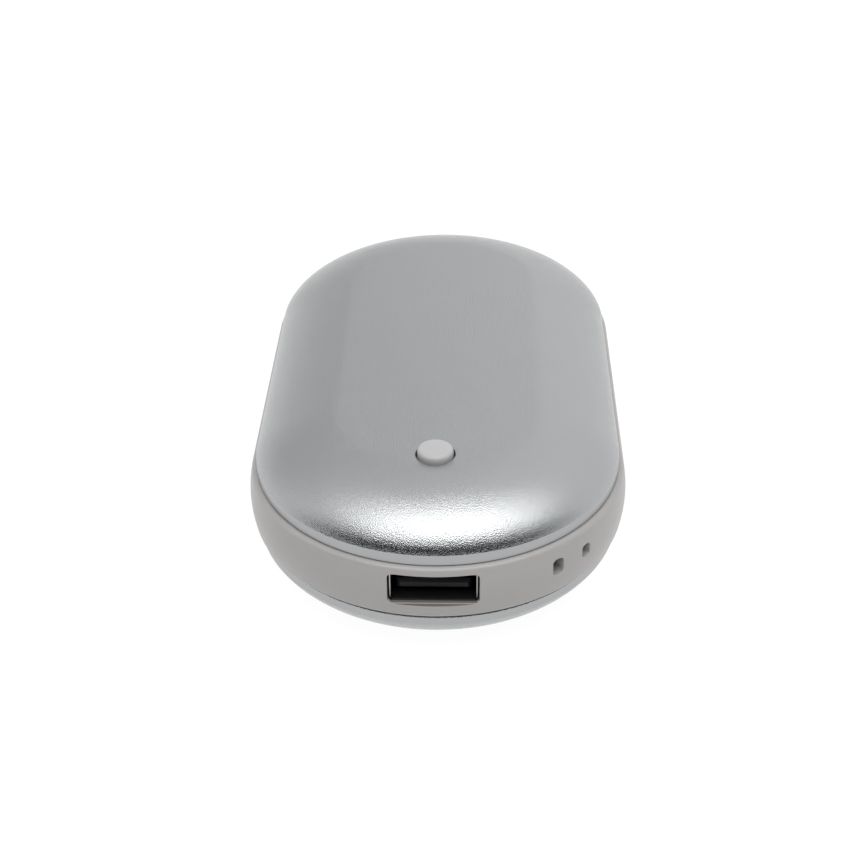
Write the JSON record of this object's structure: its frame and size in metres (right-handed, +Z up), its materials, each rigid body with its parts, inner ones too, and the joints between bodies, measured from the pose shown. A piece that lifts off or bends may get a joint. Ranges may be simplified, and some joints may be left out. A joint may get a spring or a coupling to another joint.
{
  "type": "rechargeable hand warmer",
  "caption": "Pebble-shaped rechargeable hand warmer: two aluminium shells on a plastic ring, with a push button, a USB port, a charging inlet and a lanyard eye.",
  "frame": {"origin": "on the resting face, under the middle of the body", "axes": "+Z up through the button side, Y along the length with the wide port facing -Y, +X to the right seen from the port"},
  "size_m": [0.06, 0.1029, 0.027],
  "materials": {
    "blasted_aluminium": "fine bead-blasted, clear anodised",
    "white_plastic": "satin moulded",
    "button_plastic": "translucent satin",
    "carrier_plastic": "moulded",
    "black_plastic": "moulded",
    "steel": "nickel-plated",
    "contact_gold": "plated",
    "nickel": "strip",
    "circuit_green": "solder mask",
    "heater_amber": "polyimide film",
    "foam_grey": "closed-cell foam",
    "cell_foil": "laminated foil pouch",
    "ferrite": "sintered",
    "chip_black": "moulded epoxy",
    "ceramic_tan": "fired",
    "led_lens": "clear epoxy over phosphor",
    "wire_red": "vinyl insulation",
    "wire_black": "vinyl insulation"
  },
  "bodies": {
    "housing": {"battery_cell": "cell_foil", "battery_lead_negative": "wire_black", "battery_lead_positive": "wire_red", "battery_pad_bottom": "foam_grey", "battery_pad_top": "foam_grey", "battery_protection_board": "circuit_green", "battery_tab_negative": "nickel", "battery_tab_positive": "nickel", "bottom_cover": "carrier_plastic", "bottom_heater_film": "heater_amber", "bottom_heater_lead_1": "wire_red", "bottom_heater_lead_2": "wire_red", "bottom_shell": "blasted_aluminium", "bottom_thermal_pad": "foam_grey", "charge_board": "circuit_green", "charge_board_screw_1": "steel", "charge_board_screw_2": "steel", "charge_lead_negative": "wire_black", "charge_lead_positive": "wire_red", "chip_resistor_1": "chip_black", "chip_resistor_2": "chip_black", "control_chip": "chip_black", "cover_screw_1": "steel", "cover_screw_2": "steel", "cover_screw_3": "steel", "cover_screw_4": "steel", "filter_capacitor_1": "ceramic_tan", "filter_capacitor_2": "ceramic_tan", "heater_transistor_1": "chip_black", "heater_transistor_2": "chip_black", "main_board": "circuit_green", "main_board_screw_1": "steel", "main_board_screw_2": "steel", "micro_usb_shell": "steel", "micro_usb_tongue": "black_plastic", "mid_frame": "white_plastic", "power_chip": "chip_black", "power_inductor": "ferrite", "status_led_1": "led_lens", "status_led_2": "led_lens", "switch_dome": "steel", "tact_switch_body": "black_plastic", "thermal_fuse": "ceramic_tan", "thermistor": "chip_black", "top_cover": "carrier_plastic", "top_heater_film": "heater_amber", "top_heater_lead_1": "wire_red", "top_heater_lead_2": "wire_red", "top_shell": "blasted_aluminium", "top_thermal_pad": "foam_grey", "usb_a_contact_1": "contact_gold", "usb_a_contact_2": "contact_gold", "usb_a_contact_3": "contact_gold", "usb_a_contact_4": "contact_gold", "usb_a_shell": "steel", "usb_a_tongue": "black_plastic"},
    "button": {"button_cap": "button_plastic"},
    "plunger": {"switch_plunger": "black_plastic"}
  },
  "joints": [
    {"name": "button_press", "type": "slide", "parent": "housing", "child": "button", "axis": [0, 0, -1], "range_m": [0, 0.0004], "stiffness_N_per_m": 3000},
    {"name": "plunger_press", "type": "slide", "parent": "housing", "child": "plunger", "axis": [0, 0, -1], "range_m": [0, 0.0004], "stiffness_N_per_m": 0.01, "springref_m": -0.0119}
  ],
  "couplings": [
    {"joint": "plunger_press", "follows": "button_press", "ratio": 1}
  ]
}
